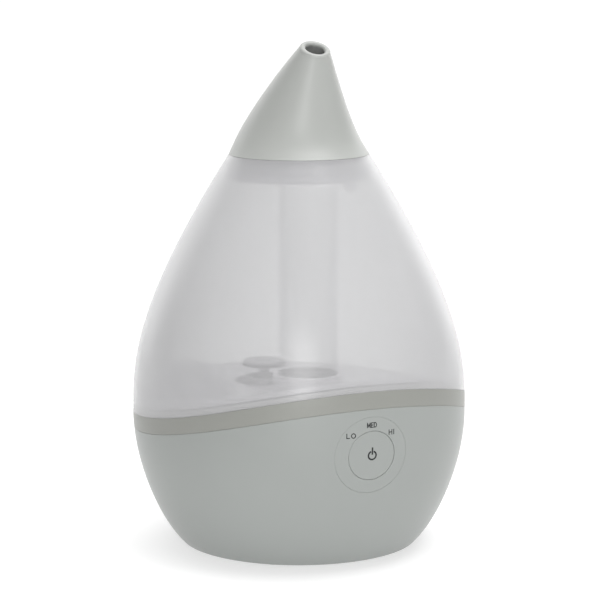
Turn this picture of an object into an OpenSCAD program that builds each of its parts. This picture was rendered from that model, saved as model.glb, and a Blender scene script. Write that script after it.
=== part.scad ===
// Teardrop cool mist humidifier: mist nozzle, water tank, tank cap with its valve, and electric base.
// Millimetres. +Z is up, the front with the power button faces -Y, and the feet rest on z = 0.

/* [Body] */
// Radius at the widest ring of the teardrop
body_r = 95; // [92:0.5:98]
// Height of the widest ring above the table
belly_z = 77.1; // [75:0.1:79]
// Radius of the body's lower edge
foot_ring_r = 67.8; // [66:0.1:70]
// Height of the body's lower edge above the table
foot_ring_z = 2.9; // [2.5:0.1:3.5]
// Radius of the seam between tank and nozzle
neck_r = 39.7; // [39:0.1:41]
// Height of the seam between tank and nozzle
neck_z = 223.5; // [220:0.5:227]
// Wall of the base housing
wall = 2.4; // [2:0.1:2.8]
// Wall of the translucent tank
tank_wall = 2.2; // [1.8:0.1:2.6]

/* [Wave seam] */
// Lowest height of the seam between tank and base
seam_low = 77.8; // [77:0.1:79]
// Radius of the curve that the seam follows, seen from the side
seam_bend_r = 375; // [360:1:400]
// Distance of the seam's lowest line behind the centre
seam_low_y = 43.5; // [40:0.5:46]
// Height of the rim band below the seam
rim_band_h = 9; // [8:0.5:10]
// Gap that shows as a hairline between two mouldings
hairline = 0.3; // [0.3:0.05:0.5]

/* [Nozzle] */
// Distance that the nozzle's tip leans to the front
nozzle_lean = 21; // [20:0.5:23]
// Height of the centre of the nozzle's tip
nozzle_tip_z = 282.7; // [280:0.1:284]
// Angle of the tip's rim from level
nozzle_tip_tilt = 28; // [24:1:32]
// Outer radius at the tip
nozzle_tip_r = 8.8; // [8.4:0.1:9.4]

/* [Mist chimney] */
// Outer radius of the chimney that carries mist up through the tank
chimney_r = 17.2; // [16:0.1:18]
// Distance of the chimney in front of the centre
chimney_front = 12.5; // [11:0.5:14]

/* [Controls] */
// Outer radius of the ring that carries the speed legends
panel_r = 21.4; // [20:0.1:22]
// Radius of the round power button
button_r = 13.7; // [12.5:0.1:14]
// Travel of the power button
button_travel = 1; // [0.8:0.1:1]

/* [Tank cap] */
// Distance of the cap and its valve behind the centre
cap_back = 50; // [49:0.5:51]
// Outer radius of the screw cap
cap_r = 23; // [22.6:0.1:23.4]

/* [Fan and float] */
// Width of the square fan frame
fan_w = 40; // [39:0.5:41]
// Number of fan blades
fan_blades = 7; // [5:1:9]
// Outer radius of the float
float_r = 10; // [9:0.5:11]

/* [Hidden] */
$fn = 96;
seam_fn = 256;
body_fn = 240;
thin = 0.3;                       // clearance between parts that move past each other
running = 0.06;                   // radial clearance of a shaft in its bore

// Side profile of the teardrop: two smooth curves that meet at the widest ring, as [radius, height].
lower_curve = [[foot_ring_r, foot_ring_z], [81.4, 16.2], [body_r, 49.4], [body_r, belly_z]];
upper_curve = [[body_r, belly_z], [body_r, 101.2], [96.8, 134.4], [neck_r, neck_z]];
lower_steps = 12;
upper_steps = 20;

function bezier(c, t) = pow(1 - t, 3) * c[0] + 3 * t * pow(1 - t, 2) * c[1]
                      + 3 * t * t * (1 - t) * c[2] + pow(t, 3) * c[3];
function slope(c, t) = 3 * pow(1 - t, 2) * (c[1] - c[0]) + 6 * t * (1 - t) * (c[2] - c[1])
                     + 3 * t * t * (c[3] - c[2]);
function unit(v) = v / norm(v);
// A point of the profile, moved inwards by a depth.
function inset(c, t, depth) = let (s = unit(slope(c, t))) bezier(c, t) + depth * [-s[1], s[0]];
function lower_line(depth) = [for (i = [0:lower_steps]) inset(lower_curve, i / lower_steps, depth)];
function upper_line(depth) = [for (i = [1:upper_steps]) inset(upper_curve, i / upper_steps, depth)];
function body_line(depth) = concat(lower_line(depth), upper_line(depth));
function reversed(list) = [for (i = [len(list) - 1:-1:0]) list[i]];

// Everything higher than the seam raised by a height; the seam is a slice of a wide cylinder along X.
module above_seam(height = 0) {
    translate([0, seam_low_y, seam_low + seam_bend_r])
        rotate([0, 90, 0])
            cylinder(r = seam_bend_r - height, h = 3 * body_r, center = true, $fn = seam_fn);
}

// The part of its children that lies between two heights above the seam.
module seam_slice(low, high) {
    difference() {
        intersection() {
            children();
            above_seam(low);
        }
        above_seam(high);
    }
}

// The whole teardrop, filled, moved inwards by a depth.
module filled_body(depth) {
    line = body_line(depth);
    rotate_extrude($fn = body_fn)
        polygon(concat([[0, line[0][1]]], line, [[0, line[len(line) - 1][1]]]));
}

// The teardrop's skin between two depths.
module skin(depth_a, depth_b) {
    rotate_extrude($fn = body_fn)
        polygon(concat(body_line(depth_a), reversed(body_line(depth_b))));
}

module ring(outer, inner, height) {
    difference() {
        cylinder(r = outer, h = height);
        translate([0, 0, -1])
            cylinder(r = inner, h = height + 2);
    }
}

module polar(angles, radius) {
    for (a = angles)
        rotate(a)
            translate([radius, 0, 0])
                rotate(-a)
                    children();
}

module pan_screw(head_r, head_h, shank_r, length) {
    difference() {
        cylinder(r = head_r, h = head_h);
        for (a = [0, 90])
            rotate(a)
                translate([-0.3, -head_r * 0.6, -1])
                    cube([0.6, head_r * 1.2, 1 + head_h / 2]);
    }
    translate([0, 0, head_h])
        cylinder(r = shank_r, h = length);
}

// ---- Swept tubes: the bent nozzle, the valve spring and the wires -------------------------------

// Closed surface through rings of points; wrap joins the last ring to the first.
module loft(rings, wrap = false) {
    sides = len(rings[0]);
    count = len(rings);
    spans = wrap ? count : count - 1;
    walls = [for (i = [0:spans - 1], j = [0:sides - 1])
        let (a = i * sides, b = ((i + 1) % count) * sides, k = (j + 1) % sides)
            [a + j, a + k, b + k, b + j]];
    ends = wrap ? [] : [[for (j = [sides - 1:-1:0]) j],
                        [for (j = [0:sides - 1]) (count - 1) * sides + j]];
    polyhedron(points = [for (r = rings) each r], faces = concat(walls, ends), convexity = 6);
}

function hoop(centre, radius, e1, e2, sides) =
    [for (j = [0:sides - 1]) centre + radius * (cos(360 * j / sides) * e1 + sin(360 * j / sides) * e2)];

// Smooth route through hand-placed points, as a Catmull-Rom curve.
function mix4(p, t) = 0.5 * (2 * p[1] + (p[2] - p[0]) * t + (2 * p[0] - 5 * p[1] + 4 * p[2] - p[3]) * t * t
                    + (3 * p[1] - p[0] - 3 * p[2] + p[3]) * t * t * t);
function route(pts, steps) = let (n = len(pts)) concat(
    [for (i = [0:n - 2], s = [0:steps - 1])
        mix4([pts[max(i - 1, 0)], pts[i], pts[i + 1], pts[min(i + 2, n - 1)]], s / steps)],
    [pts[n - 1]]);

module wire(pts, radius, side, steps = 5) {
    path = route(pts, steps);
    last = len(path) - 1;
    loft([for (i = [0:last])
        let (t = unit(path[min(i + 1, last)] - path[max(i - 1, 0)]),
             e1 = unit(cross(side, t)),
             e2 = cross(t, e1))
            hoop(path[i], radius, e2, e1, 8)]);
}

// ---- Mist nozzle --------------------------------------------------------------------------------

nozzle_wall = 2.2;
nozzle_tip_wall = 3.4;
nozzle_sides = 48;
nozzle_steps = 14;
nozzle_tip_axis = [0, -sin(nozzle_tip_tilt), cos(nozzle_tip_tilt)];
nozzle_seat = neck_z + hairline;
nozzle_tip = [0, -nozzle_lean, nozzle_tip_z];
nozzle_axis_curve = [[0, 0, nozzle_seat], [0, 2, nozzle_seat + 12],
    nozzle_tip + [0, 21.5, -39.5], nozzle_tip];
nozzle_base_taper = 0.54;         // radius lost per millimetre of length at the base
nozzle_tip_taper = 0.48;          // and at the tip
nozzle_turn = 1.15;               // how late the cross-sections start to lean forward

function total(list, i = 0) = i < len(list) ? list[i] + total(list, i + 1) : 0;
function arc_length(c, t, steps = 20) =
    total([for (i = [1:steps]) norm(bezier(c, t * i / steps) - bezier(c, t * (i - 1) / steps))]);
nozzle_length = arc_length(nozzle_axis_curve, 1);
function nozzle_r(s) = (2 * pow(s, 3) - 3 * s * s + 1) * (neck_r - 0.1)
    - (pow(s, 3) - 2 * s * s + s) * nozzle_base_taper * nozzle_length
    + (3 * s * s - 2 * pow(s, 3)) * nozzle_tip_r
    - (pow(s, 3) - s * s) * nozzle_tip_taper * nozzle_length;
// A cross-section of the cone, drawn in by a depth.
function nozzle_ring(t, depth) =
    let (s = arc_length(nozzle_axis_curve, t) / nozzle_length, a = nozzle_tip_tilt * pow(s, nozzle_turn))
        hoop(bezier(nozzle_axis_curve, t), nozzle_r(s) - depth, [1, 0, 0], [0, cos(a), sin(a)], nozzle_sides);

module mist_nozzle() {
    outside = [for (i = [0:nozzle_steps]) nozzle_ring(i / nozzle_steps, 0)];
    lip_r = nozzle_tip_wall / 2;
    lip = [for (a = [30:30:150])
        hoop(nozzle_tip + lip_r * sin(a) * nozzle_tip_axis,
             nozzle_tip_r - lip_r + lip_r * cos(a), [1, 0, 0], cross(nozzle_tip_axis, [1, 0, 0]),
             nozzle_sides)];
    inside = [for (i = [nozzle_steps:-1:0])
        nozzle_ring(i / nozzle_steps, nozzle_wall + (nozzle_tip_wall - nozzle_wall) * i / nozzle_steps)];
    color([0.72, 0.74, 0.72])
        loft(concat(outside, lip, inside), wrap = true);
}

skirt_r = 33.8;
skirt_low = nozzle_seat - 10;
skirt_top = nozzle_seat + 2.8;
skirt_wall = 1.8;
bead_r = 34.4;

// Ring glued into the nozzle; it turns around the skirt, under the skirt's bead.
module nozzle_bearing() {
    color([0.78, 0.79, 0.78])
        translate([0, 0, nozzle_seat + 0.2])
            difference() {
                cylinder(r1 = 37, r2 = 35.4, h = 1.7);
                translate([0, 0, -1])
                    cylinder(r = skirt_r + thin, h = 5);
            }
}

// Clear carrier ring that drops into the tank's neck and holds the nozzle.
module nozzle_skirt() {
    color([0.86, 0.86, 0.9])
        difference() {
            union() {
                translate([0, 0, skirt_low])
                    cylinder(r = skirt_r, h = skirt_top - skirt_low);
                translate([0, 0, neck_z - 0.9])
                    cylinder(r = 36.8, h = 0.8);
                translate([0, 0, skirt_top - 0.6])
                    cylinder(r = bead_r, h = 0.6);
            }
            translate([0, 0, skirt_low - 1])
                cylinder(r = skirt_r - skirt_wall, h = skirt_top - skirt_low + 2);
        }
}

// ---- Tank ---------------------------------------------------------------------------------------

neck_bore = skirt_r + 0.4;
neck_ring_r = 41;
neck_ring_low = 210.5;
floor_rise = 4.2;                 // underside of the tank floor above the seam
floor_t = 2.5;
air_dome = [-54, 31, 76.2];
air_dome_r = 27.3;
chimney_at = [0, -chimney_front];
cap_at = [0, cap_back];

module tank_shell() {
    color([0.9, 0.9, 0.9, 0.5])
        intersection() {
            rotate_extrude($fn = body_fn)
                polygon(concat([[body_r, belly_z]], upper_line(0), reversed(upper_line(tank_wall)),
                               [[body_r - tank_wall, belly_z]]));
            above_seam(hairline);
        }
}

// Clear ring welded into the neck, with the two tabs that hang below it.
module neck_ring() {
    top = inset(upper_curve, 1, tank_wall + 0.1);
    lower = inset(upper_curve, 1 - 1 / upper_steps, tank_wall + 0.1);
    shoulder_z = top[1] - (neck_ring_r - top[0]) * (top[1] - lower[1]) / (lower[0] - top[0]);
    color([0.84, 0.83, 0.88]) {
        difference() {
            rotate_extrude()
                polygon([[neck_bore, neck_ring_low], [neck_ring_r, neck_ring_low],
                         [neck_ring_r, shoulder_z], top, [neck_bore, top[1]]]);
            translate([0, 0, neck_ring_low - 1])
                ring(neck_ring_r - 1.6, neck_bore + 1.6, 7);
        }
        for (a = [-70, 110])
            rotate(a)
                translate([neck_ring_r - 1.6, -4, neck_ring_low - 4.5])
                    cube([1.5, 8, 4.6]);
    }
}

chimney_top = 207;
chimney_low = 75;

module mist_chimney() {
    color([0.88, 0.88, 0.9, 0.6])
        translate([chimney_at[0], chimney_at[1], chimney_low])
            ring(chimney_r, chimney_r - 1.6, chimney_top - chimney_low);
}

boss_r = 19.8;
boss_low = 74.3;
collar_r = 20;
collar_top = 100;
lug_turns = [0, 120, 240];

// A lug on a ring: a short piece of a band between two radii.
module lug(inner, outer, height, sweep) {
    rotate(-sweep / 2)
        rotate_extrude(angle = sweep)
            translate([inner, 0])
                square([outer - inner, height]);
}

// Clear pan that closes the tank: its wave follows the seam, with an air dome over the base's duct.
module tank_floor() {
    color([0.85, 0.84, 0.89, 0.7])
        difference() {
            union() {
                seam_slice(floor_rise, floor_rise + floor_t)
                    filled_body(tank_wall);
                intersection() {
                    translate(air_dome)
                        sphere(r = air_dome_r);
                    above_seam(floor_rise);
                    filled_body(tank_wall);
                }
                intersection() {
                    translate([chimney_at[0], chimney_at[1], collar_top - 30])
                        cylinder(r = collar_r, h = 30);
                    above_seam(floor_rise);
                }
                translate([cap_at[0], cap_at[1], boss_low])
                    cylinder(r = boss_r, h = 10);
                for (a = lug_turns)
                    translate([cap_at[0], cap_at[1], 75.5])
                        rotate(a)
                            lug(boss_r - 1, 20.9, 1.5, 24);
            }
            translate(air_dome)
                sphere(r = air_dome_r - 2.2);
            translate([chimney_at[0], chimney_at[1], 60])
                cylinder(r = chimney_r, h = 60);
            translate([cap_at[0], cap_at[1], 60])
                cylinder(r = boss_r - 2.8, h = 40);
        }
}

// ---- Tank cap and its valve ---------------------------------------------------------------------

cap_low = 70;
cap_plate = 2.5;
seat_r = 11;
seat_top = 87.4;
stem_r = 3;

module at_cap(z) {
    translate([cap_at[0], cap_at[1], z])
        children();
}

module tank_cap() {
    skirt_in = 21.3;
    color([0.93, 0.93, 0.92])
        at_cap(cap_low) {
            difference() {
                cylinder(r = cap_r, h = 9.4);
                translate([0, 0, cap_plate])
                    cylinder(r = skirt_in, h = 10);
                translate([0, 0, -1])
                    cylinder(r = stem_r + running, h = 10);
                for (a = [0:60:300])
                    rotate(a)
                        translate([6.6, 0, -1])
                            cylinder(r = 1.9, h = 10);
                for (a = [0:15:345])
                    rotate(a)
                        translate([cap_r + 0.8, 0, -1])
                            cylinder(r = 1.4, h = 12);
            }
            translate([0, 0, cap_plate])
                ring(seat_r, seat_r - 1.8, seat_top - cap_low - cap_plate);
            for (a = lug_turns)
                translate([0, 0, 7.4])
                    rotate(a)
                        lug(20.1, skirt_in + 0.2, 1.7, 24);
        }
}

module cap_gasket() {
    color([0.25, 0.25, 0.26])
        at_cap(cap_low + cap_plate)
            ring(boss_r + 0.4, 16, 1.4);
}

head_low = 95.4;

module valve_plunger() {
    color([0.8, 0.8, 0.82]) {
        at_cap(61)
            cylinder(r = stem_r, h = 36);
        at_cap(head_low)
            cylinder(r = 12, h = 1.2);
        at_cap(head_low + 1.2)
            cylinder(r1 = 12, r2 = 4, h = 1.6);
        at_cap(61)
            cylinder(r = 4.2, h = 1);
    }
}

module valve_seal() {
    color([0.3, 0.3, 0.32])
        at_cap(head_low - 1.6)
            ring(12.4, stem_r, 1.6);
}

module valve_clip() {
    color([0.75, 0.75, 0.77])
        at_cap(62)
            ring(6, stem_r, 1);
}

spring_wire_r = 0.4;
spring_coil_r = 4.6;
spring_turns = 4;
spring_low = 63 + spring_wire_r;
spring_h = cap_low - 63 - 2 * spring_wire_r - 0.1;

module valve_spring() {
    ring_steps = 18;
    count = spring_turns * ring_steps;
    color([0.7, 0.7, 0.72])
        at_cap(spring_low)
            loft([for (i = [0:count])
                let (a = 360 * i / ring_steps,
                     out = [cos(a), sin(a), 0],
                     climb = unit([-sin(a) * spring_coil_r, cos(a) * spring_coil_r,
                                   spring_h / spring_turns / (2 * PI)]))
                    hoop(spring_coil_r * out + [0, 0, spring_h * i / count], spring_wire_r,
                         out, cross(climb, out), 8)]);
}

// ---- Base: housing, reservoir and bottom --------------------------------------------------------

panel_t = 0.903;                  // place of the panel's centre along the lower curve
panel_p = bezier(lower_curve, panel_t);
panel_s = slope(lower_curve, panel_t);
panel_tilt = atan(panel_s[0] / panel_s[1]);

// Frame of the front panel: z points out of the body, y points up.
module at_panel(depth = 0) {
    translate([0, -panel_p[0], panel_p[1]])
        rotate([90 + panel_tilt, 0, 0])
            translate([0, 0, -depth])
                children();
}

ledge_r = 58.5;
cover_r = 60.6;
jack_at = [0, 24];                // X and height of the power inlet
jack_face = 77.6;
jack_r = 5.5;
board_posts = [[-21.5, -14], [21.5, -14], [-21.5, 14], [21.5, 14]];
control_board_depth = 14;

module base_housing() {
    outer = body_line(0);
    inner = body_line(wall);
    inner_low = [for (p = inner) if (p[1] > 8.5) p];
    color([0.66, 0.68, 0.66])
        difference() {
            union() {
                rotate_extrude($fn = body_fn)
                    polygon(concat(outer, reversed(inner_low), [[66.5, 7.5], [ledge_r, 7.5],
                        [ledge_r, 5.6], [cover_r + 0.2, 5.6], [cover_r + 0.2, foot_ring_z]]));
                intersection() {
                    at_panel(control_board_depth)
                        for (p = board_posts)
                            translate([p[0], p[1], 0])
                                cylinder(r = 2.4, h = control_board_depth);
                    filled_body(wall / 2);
                }
            }
            above_seam(-rim_band_h - 0.2);
            at_panel(12)
                cylinder(r = panel_r + 0.2, h = 20);
            translate([jack_at[0], 60, jack_at[1]])
                rotate([-90, 0, 0])
                    cylinder(r = jack_r + 0.2, h = 30);
        }
}

basin_floor = 52;
basin_t = 2.5;
basin_x = [-30, 50];
basin_y = [-52, 77];
basin_corner = 20;
deck_drop = 4;                    // deck surface below the seam
deck_t = 2.5;
well_r = 14;
well_floor = 46;
disc_r = 10;
tower_at = [-51.4, 29.7];
tower_r = 15;
tower_top = 93;
float_at = [32, 12];
post_r = 3;
column_at = [[45, 0], [0, 46], [-43.2, -15.7], [0, -46]];
column_low = 7.7;
driver_posts = [[-27, -33], [37, -33], [-27, 16], [37, 2]];
driver_z = 22;
board_t = 1.6;

// Rounded plan of the basin, grown by a margin, between two heights.
module basin_block(grow, low, high) {
    corner = basin_corner + grow;
    translate([0, 0, low])
        linear_extrude(high - low)
            union() {
                translate([basin_x[0] - grow, basin_y[0] + basin_corner])
                    square([basin_x[1] - basin_x[0] + 2 * grow, basin_y[1] - basin_y[0] - 2 * basin_corner]);
                translate([basin_x[0] + basin_corner, basin_y[0] - grow])
                    square([basin_x[1] - basin_x[0] - 2 * basin_corner, basin_y[1] - basin_y[0] + 2 * grow]);
                for (x = [basin_x[0] + basin_corner, basin_x[1] - basin_corner],
                     y = [basin_y[0] + basin_corner, basin_y[1] - basin_corner])
                    translate([x, y])
                        circle(r = corner);
            }
}

opener_r = 4.5;
opener_top = 60.7;
post_top = 75;
reed_bore_r = 1.7;

// Band between housing and tank that hides the deck's edge; its lines follow the wave seam.
module rim_band() {
    color([0.62, 0.63, 0.6])
        seam_slice(-rim_band_h, 0)
            skin(0, wall);
}

// The top of the base: rim band, deck, water basin, air tower, float post and screw columns.
module reservoir_deck() {
    color([0.64, 0.66, 0.63])
        difference() {
            union() {
                difference() {
                    union() {
                        seam_slice(-rim_band_h, -deck_drop)
                            skin(wall + 0.05, wall + 2);
                        seam_slice(-rim_band_h - 4, -rim_band_h + 0.1)
                            skin(wall + 0.25, wall + 2);
                        seam_slice(-deck_drop - deck_t, -deck_drop)
                            filled_body(wall + 1);
                        seam_slice(-deck_drop - 1, floor_rise - 0.8)
                            skin(tank_wall + 0.5, tank_wall + 2.3);
                        difference() {
                            union() {
                                basin_block(basin_t, basin_floor - basin_t, 100);
                                translate([chimney_at[0], chimney_at[1], well_floor - 2.5])
                                    cylinder(r = well_r + 2.5, h = 20);
                                for (p = column_at)
                                    translate([p[0], p[1], column_low])
                                        cylinder(r = 4, h = 80 - column_low);
                                for (p = driver_posts)
                                    translate([p[0], p[1], driver_z + board_t])
                                        cylinder(r = 3, h = 40);
                            }
                            above_seam(-deck_drop - 0.5);
                        }
                        translate([tower_at[0], tower_at[1], 50])
                            cylinder(r = tower_r, h = tower_top - 50);
                    }
                    basin_block(0, basin_floor, 120);
                    translate([chimney_at[0], chimney_at[1], well_floor])
                        cylinder(r = well_r, h = 20);
                }
                translate([cap_at[0], cap_at[1], basin_floor - 1])
                    cylinder(r = opener_r, h = opener_top - basin_floor + 1);
                translate([float_at[0], float_at[1], basin_floor - 1])
                    cylinder(r = post_r, h = post_top - basin_floor + 1);
            }
            translate([chimney_at[0], chimney_at[1], 30])
                cylinder(r = disc_r - 1.2, h = 30);
            translate([tower_at[0], tower_at[1], 40])
                cylinder(r = tower_r - 2, h = 60);
            translate([float_at[0], float_at[1], 40])
                cylinder(r = reed_bore_r, h = 30);
            for (p = column_at)
                translate([p[0], p[1], column_low - 1])
                    cylinder(r = 1.6, h = 15);
            for (p = driver_posts)
                translate([p[0], p[1], driver_z + board_t - 1])
                    cylinder(r = 1.2, h = 10);
        }
}

cover_t = 2.4;
cover_top = foot_ring_z + cover_t;
feet_at = [for (a = [50, 130, 230, 310]) 50 * [cos(a), sin(a)]];
foot_r = 8;
vent_count = 6;
vent_pitch = 5.6;

// Flush plate under the base, with the air inlet slots.
module bottom_cover() {
    color([0.6, 0.62, 0.6])
        difference() {
            union() {
                translate([0, 0, foot_ring_z])
                    cylinder(r = cover_r, h = cover_t);
                for (p = column_at)
                    translate([p[0], p[1], cover_top - 0.5])
                        cylinder(r = 5, h = column_low - cover_top + 0.5);
            }
            for (p = column_at) {
                translate([p[0], p[1], 0])
                    cylinder(r = 1.9, h = 20);
                translate([p[0], p[1], 0])
                    cylinder(r = 3.6, h = cover_top - 0.4);
            }
            for (p = feet_at)
                translate([p[0], p[1], 0])
                    cylinder(r = 2.5, h = 20);
            for (i = [0:vent_count - 1])
                translate([-37, 9 + vent_pitch * (i - (vent_count - 1) / 2), 0])
                    linear_extrude(20)
                        union() {
                            square([26, 2.8], center = true);
                            for (x = [-13, 13])
                                translate([x, 0])
                                    circle(r = 1.4);
                        }
        }
}

module rubber_feet() {
    color([0.3, 0.3, 0.31])
        for (p = feet_at)
            translate([p[0], p[1], 0]) {
                cylinder(r = foot_r, h = foot_ring_z);
                cylinder(r = 2.4, h = cover_top + 0.1);
                translate([0, 0, cover_top])
                    cylinder(r1 = 3.3, r2 = 2, h = 2);
            }
}

module cover_screws() {
    color([0.75, 0.75, 0.76])
        for (p = column_at)
            translate([p[0], p[1], 3.2])
                pan_screw(3.2, 1.7, 1.5, 12);
}

// ---- Front controls -----------------------------------------------------------------------------

guide_r = button_r + thin + 1.4;

// Ring around the button, following the body's curve, with the tube that guides the button.
module control_ring() {
    color([0.66, 0.68, 0.66])
        difference() {
            union() {
                intersection() {
                    at_panel(12)
                        cylinder(r = panel_r, h = 20);
                    skin(0, wall);
                }
                intersection() {
                    at_panel(8)
                        cylinder(r = guide_r, h = 8);
                    filled_body(wall / 2);
                }
            }
            at_panel(12)
                cylinder(r = button_r + thin, h = 20);
        }
}

switch_h = 4.6;
// Depth of the button's stem: at full travel it stops just short of the switch.
stem_end = control_board_depth - switch_h - button_travel - 0.4;

module power_button() {
    color([0.68, 0.7, 0.68]) {
        difference() {
            intersection() {
                at_panel(6)
                    cylinder(r = button_r, h = 20);
                filled_body(0.1);
            }
            at_panel(7)
                cylinder(r = button_r - 1.4, h = 7 - 2);
        }
        at_panel(stem_end)
            cylinder(r = 2.2, h = 6.5);
    }
}

module control_board() {
    color([0.1, 0.36, 0.2])
        difference() {
            at_panel(control_board_depth + board_t)
                translate([-25, -17.5, 0])
                    cube([50, 35, board_t]);
            at_panel(control_board_depth + 5)
                for (p = board_posts)
                    translate([p[0], p[1], 0])
                        cylinder(r = 1.1, h = 10);
        }
}

module board_screws() {
    color([0.75, 0.75, 0.76])
        for (p = board_posts)
            at_panel(control_board_depth + board_t + 1.3)
                translate([p[0], p[1], 0])
                    pan_screw(2, 1.3, 0.95, board_t);
}

module tact_switch() {
    color([0.15, 0.15, 0.16])
        at_panel(control_board_depth) {
            translate([-3, -3, 0])
                cube([6, 6, 3.4]);
            cylinder(r = 1.6, h = switch_h);
        }
}

legend_ring_r = 17.6;
legend_turns = [45, 0, -43];      // low, medium and high, counted left of the top

module speed_lamps() {
    color([0.95, 0.95, 0.9])
        for (a = legend_turns)
            at_panel(control_board_depth)
                translate([-legend_ring_r * sin(a), legend_ring_r * cos(a) - 2, 0]) {
                    cylinder(r = 1.6, h = 3.6);
                    translate([0, 0, 3.6])
                        sphere(r = 1.5);
                }
}

// ---- Mist drive under the basin -----------------------------------------------------------------

module at_well(z) {
    translate([chimney_at[0], chimney_at[1], z])
        children();
}

module transducer_disc() {
    color([0.85, 0.85, 0.86])
        at_well(41.6)
            cylinder(r = disc_r, h = 1.2);
}

module transducer_seal() {
    color([0.2, 0.2, 0.2])
        at_well(40.6)
            difference() {
                cylinder(r = disc_r + 2.2, h = 2.9);
                translate([0, 0, -1])
                    cylinder(r = disc_r - 1.5, h = 6);
                translate([0, 0, 1])
                    cylinder(r = disc_r, h = 1.2);
            }
}

holder_screw_turns = [30, 150, 270];

module transducer_holder() {
    color([0.8, 0.8, 0.81])
        at_well(38)
            difference() {
                union() {
                    cylinder(r = 16, h = 2.6);
                    translate([0, 0, 2.5])
                        ring(16, disc_r + 2.3, 3);
                }
                translate([0, 0, -1])
                    cylinder(r = disc_r - 2, h = 5);
                polar(holder_screw_turns, 14.2)
                    translate([0, 0, -1])
                        cylinder(r = 0.9, h = 8);
            }
}

module holder_screws() {
    color([0.75, 0.75, 0.76])
        at_well(36.7)
            polar(holder_screw_turns, 14.2)
                pan_screw(1.7, 1.3, 0.85, 5);
}

board_low = [-31, -37];
board_size = [72, 57];

module driver_board() {
    color([0.1, 0.36, 0.2])
        difference() {
            translate([board_low[0], board_low[1], driver_z])
                cube([board_size[0], board_size[1], board_t]);
            for (p = driver_posts)
                translate([p[0], p[1], driver_z - 1])
                    cylinder(r = 1.3, h = 5);
        }
}

module driver_screws() {
    color([0.75, 0.75, 0.76])
        for (p = driver_posts)
            translate([p[0], p[1], driver_z - 1.5])
                pan_screw(2.4, 1.5, 1.15, 8);
}

chip_top = driver_z + board_t;

module heat_sink() {
    color([0.72, 0.73, 0.75])
        translate([17, -28, chip_top]) {
            cube([3, 26, 14]);
            for (i = [0:4])
                translate([2.9, i * 6, 0])
                    cube([9, 2, 14]);
        }
}

module power_transistor() {
    color([0.15, 0.15, 0.16])
        translate([12.4, -20, chip_top + 3]) {
            cube([4.5, 10, 9]);
            for (i = [0:2])
                translate([1.8, 2 + i * 2.5, -3])
                    cube([0.8, 0.8, 3.2]);
        }
}

module driver_coil() {
    color([0.72, 0.42, 0.2])
        translate([-20, -22, chip_top + 4.2])
            rotate_extrude()
                translate([5.5, 0])
                    circle(r = 3);
}

module board_capacitors() {
    color([0.2, 0.22, 0.35])
        for (p = [[-20, -4, 4, 11], [-10, 6, 3, 9], [26, 12, 4, 11], [2, 14, 3, 8]])
            translate([p[0], p[1], chip_top])
                cylinder(r = p[2], h = p[3]);
}

plug_w = 7;

module board_connectors() {
    color([0.92, 0.9, 0.84])
        for (p = [[-8, -34], [4, -34], [-29, 4], [14, 14]])
            translate([p[0], p[1], chip_top])
                cube([plug_w, 4.5, 6]);
}

module reed_switch() {
    color([0.75, 0.85, 0.8])
        translate([float_at[0], float_at[1], 50]) {
            cylinder(r = 1.2, h = 12);
            translate([0, 0, -3])
                cylinder(r = 0.4, h = 3.1);
        }
}

// ---- Fan and air path ---------------------------------------------------------------------------

fan_low = 30;
fan_h = 10;
fan_turn = 150;
fan_bore = fan_w / 2 - 1.4;
fan_hub_r = 9.2;
fan_holes = [for (x = [-1, 1], y = [-1, 1]) (fan_w / 2 - 4) * [x, y]];
fan_shaft_r = 1;

module at_fan(z) {
    translate([tower_at[0], tower_at[1], z])
        rotate(fan_turn)
            children();
}

module fan_frame() {
    color([0.14, 0.14, 0.15])
        at_fan(fan_low) {
            difference() {
                translate([-fan_w / 2, -fan_w / 2, 0])
                    cube([fan_w, fan_w, fan_h]);
                translate([0, 0, -1])
                    cylinder(r = fan_bore, h = fan_h + 2);
                for (p = fan_holes)
                    translate([p[0], p[1], -1])
                        cylinder(r = 1.7, h = fan_h + 2);
            }
            difference() {
                union() {
                    cylinder(r = fan_hub_r, h = 1.6);
                    cylinder(r = 2.4, h = 7);
                    for (a = [45:90:315])
                        rotate(a)
                            translate([5, -1.2, 0])
                                cube([fan_bore - 4.8, 2.4, 1.6]);
                }
                translate([0, 0, 0.8])
                    cylinder(r = fan_shaft_r + running, h = 10);
            }
        }
}

module fan_stator() {
    color([0.72, 0.42, 0.2])
        at_fan(fan_low + 2)
            ring(7.4, 2.5, 4);
}

module fan_rotor() {
    color([0.2, 0.2, 0.21])
        at_fan(fan_low + 2.2) {
            difference() {
                cylinder(r = fan_hub_r, h = 6.8);
                translate([0, 0, -1])
                    cylinder(r = fan_hub_r - 1.2, h = 6.6);
                cylinder(r = fan_shaft_r, h = 10);
            }
            intersection() {
                for (i = [0:fan_blades - 1])
                    rotate(360 * i / fan_blades)
                        translate([fan_hub_r - 0.4, 0, 3.4])
                            rotate([38, 0, 0])
                                translate([0, -4.4, -0.6])
                                    cube([fan_bore - fan_hub_r, 8.8, 1.2]);
                ring(fan_bore - 0.9, fan_hub_r - 0.3, 6.8);
            }
        }
}

module fan_shaft() {
    color([0.8, 0.8, 0.82])
        at_fan(fan_low + 1.1)
            cylinder(r = fan_shaft_r, h = 7.9);
}

duct_low = fan_low + fan_h + 0.2;

module air_duct() {
    color([0.9, 0.9, 0.9])
        at_fan(duct_low)
            difference() {
                union() {
                    translate([-fan_w / 2, -fan_w / 2, 0])
                        cube([fan_w, fan_w, 2.4]);
                    cylinder(r = tower_r + 2, h = 17);
                }
                translate([0, 0, -1])
                    cylinder(r = tower_r + 0.2, h = 20);
                for (p = fan_holes)
                    translate([p[0], p[1], -1])
                        cylinder(r = 1.5, h = 6);
            }
}

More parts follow.
